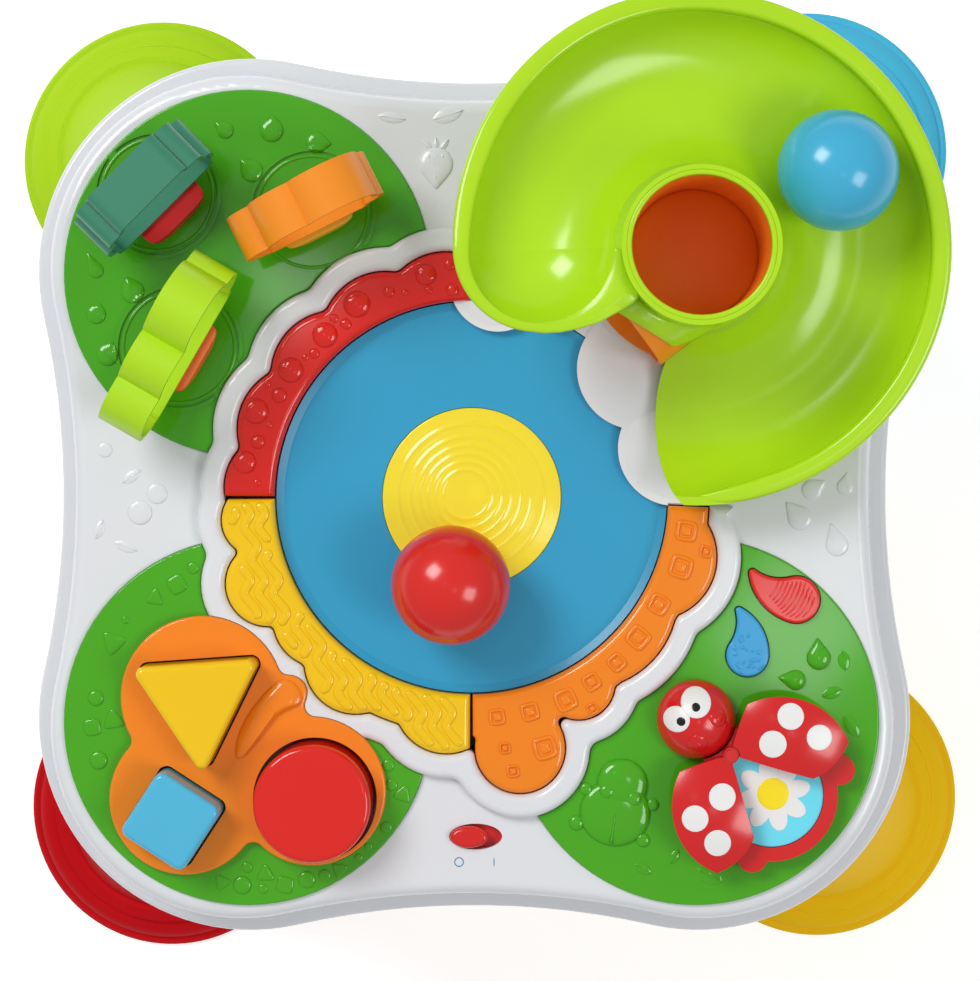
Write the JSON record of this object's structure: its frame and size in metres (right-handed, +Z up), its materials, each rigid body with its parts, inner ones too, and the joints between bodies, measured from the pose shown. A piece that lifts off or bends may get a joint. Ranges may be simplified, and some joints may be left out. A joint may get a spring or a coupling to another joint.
{
  "type": "musical activity table",
  "caption": "Toddler's activity table with a ball tray, scalloped press keys, a spiral ball slide on a tower, a shape sorter, turning loops and a winged ladybird on splayed legs.",
  "frame": {"origin": "on the floor under the middle of the four feet", "axes": "+Z up, -Y towards the power switch, +X to the right of the child standing there"},
  "size_m": [0.6108, 0.6108, 0.455],
  "materials": {
    "casing_white": "smooth satin-gloss moulded ABS",
    "base_white": "satin moulded ABS",
    "leg_lime": "glossy moulded PP",
    "leg_blue": "glossy moulded PP",
    "leg_red": "glossy moulded PP",
    "leg_yellow": "glossy moulded PP",
    "panel_green": "glossy moulded PP",
    "tray_blue": "satin moulded PP",
    "lens_yellow": "clear tinted PC",
    "reflector_white": "satin white ABS",
    "led_clear": "clear epoxy",
    "key_red": "glossy moulded PP",
    "key_yellow": "glossy moulded PP",
    "key_orange": "glossy moulded PP",
    "pad_rubber": "silicone rubber",
    "cloud_white": "glossy moulded ABS",
    "tower_orange": "glossy moulded PP",
    "slide_lime": "glossy moulded PP",
    "ball_red": "glossy blown PE",
    "ball_blue": "glossy blown PE",
    "plate_orange": "glossy moulded PP",
    "block_red": "glossy moulded PP",
    "block_blue": "glossy moulded PP",
    "block_yellow": "glossy moulded PP",
    "spinner_teal": "satin moulded PP",
    "spinner_orange": "satin moulded PP",
    "spinner_lime": "satin moulded PP",
    "hub_red": "satin moulded PP",
    "hub_yellow": "satin moulded PP",
    "hub_orange": "satin moulded PP",
    "steel": "bright steel",
    "bug_red": "glossy moulded ABS",
    "eye_white": "glossy moulded ABS",
    "picture": "printed disc",
    "wing_red": "glossy moulded ABS",
    "button_red": "glossy moulded PP",
    "button_blue": "glossy moulded PP",
    "switch_red": "glossy moulded ABS",
    "board_green": "solder-masked board",
    "speaker_black": "paper cone in a steel frame",
    "battery_grey": "plain printed metal",
    "contact_nickel": "nickel-plated steel"
  },
  "bodies": {
    "table": {"bottom_casing": "base_white", "top_casing": "casing_white", "leg_lime": "leg_lime", "leg_blue": "leg_blue", "leg_red": "leg_red", "leg_yellow": "leg_yellow", "spinner_panel": "panel_green", "sorter_panel": "panel_green", "ladybird_panel": "panel_green", "ball_tray": "tray_blue", "lamp_lens": "lens_yellow", "lamp_reflector": "reflector_white", "lamp_led": "led_clear", "red_key_pads": "pad_rubber", "yellow_key_pads": "pad_rubber", "orange_key_pads": "pad_rubber", "cloud_cover": "cloud_white", "tower_chute": "tower_orange", "slide": "slide_lime", "sorter_plate": "plate_orange", "spinner_axles": "steel", "ladybird_body": "bug_red", "ladybird_head": "bug_red", "ladybird_eyes": "eye_white", "picture_disc": "picture", "wing_pin": "steel", "red_button_pad": "pad_rubber", "blue_button_pad": "pad_rubber", "circuit_board": "board_green", "speaker": "speaker_black", "batteries": "battery_grey", "battery_contacts": "contact_nickel", "battery_door": "base_white", "door_screw": "steel", "casing_screws": "steel"},
    "red_key_body": {"red_key": "key_red"},
    "yellow_key_body": {"yellow_key": "key_yellow"},
    "orange_key_body": {"orange_key": "key_orange"},
    "teal_spinner_body": {"teal_spinner": "spinner_teal", "red_hub": "hub_red"},
    "orange_spinner_body": {"orange_spinner": "spinner_orange", "yellow_hub": "hub_yellow"},
    "lime_spinner_body": {"lime_spinner": "spinner_lime", "orange_hub": "hub_orange"},
    "upper_wing_body": {"upper_wing": "wing_red"},
    "lower_wing_body": {"lower_wing": "wing_red"},
    "red_button_body": {"red_button": "button_red"},
    "blue_button_body": {"blue_button": "button_blue"},
    "switch_body": {"switch_knob": "switch_red"},
    "red_ball_body": {"red_ball": "ball_red"},
    "blue_ball_body": {"blue_ball": "ball_blue"},
    "cylinder_block_body": {"cylinder_block": "block_red"},
    "square_block_body": {"square_block": "block_blue"},
    "triangle_block_body": {"triangle_block": "block_yellow"}
  },
  "joints": [
    {"name": "red_key_press", "type": "slide", "parent": "table", "child": "red_key_body", "axis": [0, 0, -1], "range_m": [0, 0.003], "stiffness_N_per_m": 500, "springref_m": -0.004, "deforming": ["red_key_pads"]},
    {"name": "yellow_key_press", "type": "slide", "parent": "table", "child": "yellow_key_body", "axis": [0, 0, -1], "range_m": [0, 0.003], "stiffness_N_per_m": 500, "springref_m": -0.004, "deforming": ["yellow_key_pads"]},
    {"name": "orange_key_press", "type": "slide", "parent": "table", "child": "orange_key_body", "axis": [0, 0, -1], "range_m": [0, 0.003], "stiffness_N_per_m": 500, "springref_m": -0.004, "deforming": ["orange_key_pads"]},
    {"name": "teal_spinner_turn", "type": "hinge", "parent": "table", "child": "teal_spinner_body", "pos_m": [-0.166, 0.16, 0.373], "axis": [0, 0, 1], "continuous": true},
    {"name": "orange_spinner_turn", "type": "hinge", "parent": "table", "child": "orange_spinner_body", "pos_m": [-0.084, 0.151, 0.373], "axis": [0, 0, 1], "continuous": true},
    {"name": "lime_spinner_turn", "type": "hinge", "parent": "table", "child": "lime_spinner_body", "pos_m": [-0.1545, 0.0795, 0.373], "axis": [0, 0, 1], "range_deg": [-100, 0]},
    {"name": "upper_wing_swing", "type": "hinge", "parent": "table", "child": "upper_wing_body", "pos_m": [0.1363, -0.1344, 0.3647], "axis": [0, 0, 1], "range_deg": [-26, 0]},
    {"name": "lower_wing_swing", "type": "hinge", "parent": "table", "child": "lower_wing_body", "pos_m": [0.1363, -0.1344, 0.3647], "axis": [0, 0, 1], "range_deg": [0, 26]},
    {"name": "red_button_press", "type": "slide", "parent": "table", "child": "red_button_body", "axis": [0, 0, -1], "range_m": [0, 0.0025], "stiffness_N_per_m": 300, "springref_m": -0.003, "deforming": ["red_button_pad"]},
    {"name": "blue_button_press", "type": "slide", "parent": "table", "child": "blue_button_body", "axis": [0, 0, -1], "range_m": [0, 0.0025], "stiffness_N_per_m": 300, "springref_m": -0.003, "deforming": ["blue_button_pad"]},
    {"name": "switch_slide", "type": "slide", "parent": "table", "child": "switch_body", "axis": [1, 0, 0], "range_m": [0, 0.007]},
    {"name": "red_ball_lift", "type": "slide", "parent": "table", "child": "red_ball_body", "axis": [0, 0, 1], "range_m": [0, 0.15]},
    {"name": "blue_ball_lift", "type": "slide", "parent": "table", "child": "blue_ball_body", "axis": [0, 0, 1], "range_m": [0, 0.15]},
    {"name": "cylinder_block_lift", "type": "slide", "parent": "table", "child": "cylinder_block_body", "axis": [0, 0, 1], "range_m": [0, 0.05]},
    {"name": "square_block_lift", "type": "slide", "parent": "table", "child": "square_block_body", "axis": [0, 0, 1], "range_m": [0, 0.05]},
    {"name": "triangle_block_lift", "type": "slide", "parent": "table", "child": "triangle_block_body", "axis": [0, 0, 1], "range_m": [0, 0.05]}
  ]
}
